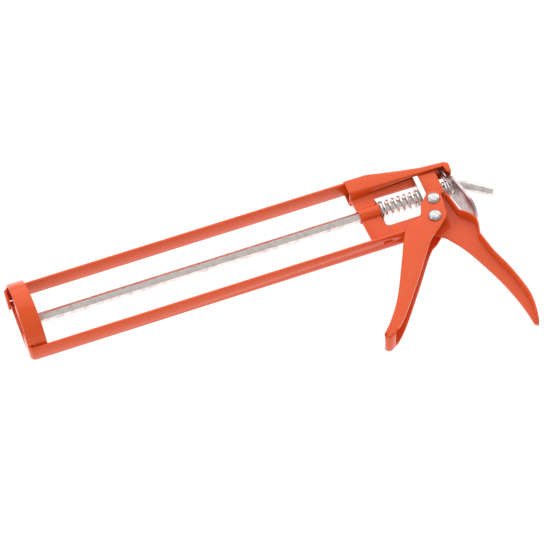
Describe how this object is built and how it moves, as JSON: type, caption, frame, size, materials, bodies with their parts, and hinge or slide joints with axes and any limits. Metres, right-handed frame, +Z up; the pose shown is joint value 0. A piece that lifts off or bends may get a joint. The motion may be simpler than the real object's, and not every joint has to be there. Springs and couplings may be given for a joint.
{
  "type": "caulking gun",
  "caption": "Skeleton caulking gun: an open rail cradle with a pierced front plate, a hexagonal push rod with a piston, a squeeze trigger and a sprung release plate.",
  "frame": {"origin": "on the push rod's axis, at the outer face of the front plate, in its nozzle hole", "axes": "+X runs along the push rod towards its bent end, +Y towards the top rail, and +Z is up with the gun lying on its side, towards the half ring"},
  "size_m": [0.3466, 0.1554, 0.0496],
  "materials": {
    "orange_paint": "gloss orange-red paint on pressed steel",
    "rivet_steel": "plated, satin",
    "zinc_steel": "zinc plated, drawn",
    "spring_steel": "bright plated wire"
  },
  "bodies": {
    "frame": {"top_rail": "orange_paint", "bottom_rail": "orange_paint", "front_plate": "orange_paint", "front_band": "orange_paint", "near_shell": "orange_paint", "far_shell": "orange_paint", "pivot_rivet": "rivet_steel", "pivot_spacers": "rivet_steel"},
    "trigger": {"trigger": "orange_paint", "drive_rivet": "rivet_steel"},
    "drive": {"drive_plate": "zinc_steel", "drive_spring": "spring_steel"},
    "release": {"release_plate": "zinc_steel", "release_spring": "spring_steel"},
    "rod": {"push_rod": "zinc_steel", "piston_disc": "zinc_steel", "piston_washer": "zinc_steel", "piston_nut": "zinc_steel"}
  },
  "joints": [
    {"name": "trigger_pivot", "type": "hinge", "parent": "frame", "child": "trigger", "pos_m": [0.2921, -0.0237, 0], "axis": [0, 0, 1], "range_deg": [0, 35], "stiffness_Nm_per_rad": 0.3, "springref_deg": -22.92},
    {"name": "drive_slide", "type": "slide", "parent": "frame", "child": "drive", "axis": [-1, 0, 0], "range_m": [0, 0.0093], "deforming": ["drive_spring"]},
    {"name": "release_tilt", "type": "hinge", "parent": "frame", "child": "release", "pos_m": [0.31202, 0.0162, 0], "axis": [0, 0, -1], "range_deg": [0, 4.5], "stiffness_Nm_per_rad": 0.3, "springref_deg": -17.19, "deforming": ["release_spring"]},
    {"name": "rod_slide", "type": "slide", "parent": "frame", "child": "rod", "axis": [1, 0, 0], "range_m": [0, 0.23]}
  ],
  "couplings": [
    {"joint": "drive_slide", "follows": "trigger_pivot", "m_per_rad": 0.015}
  ]
}
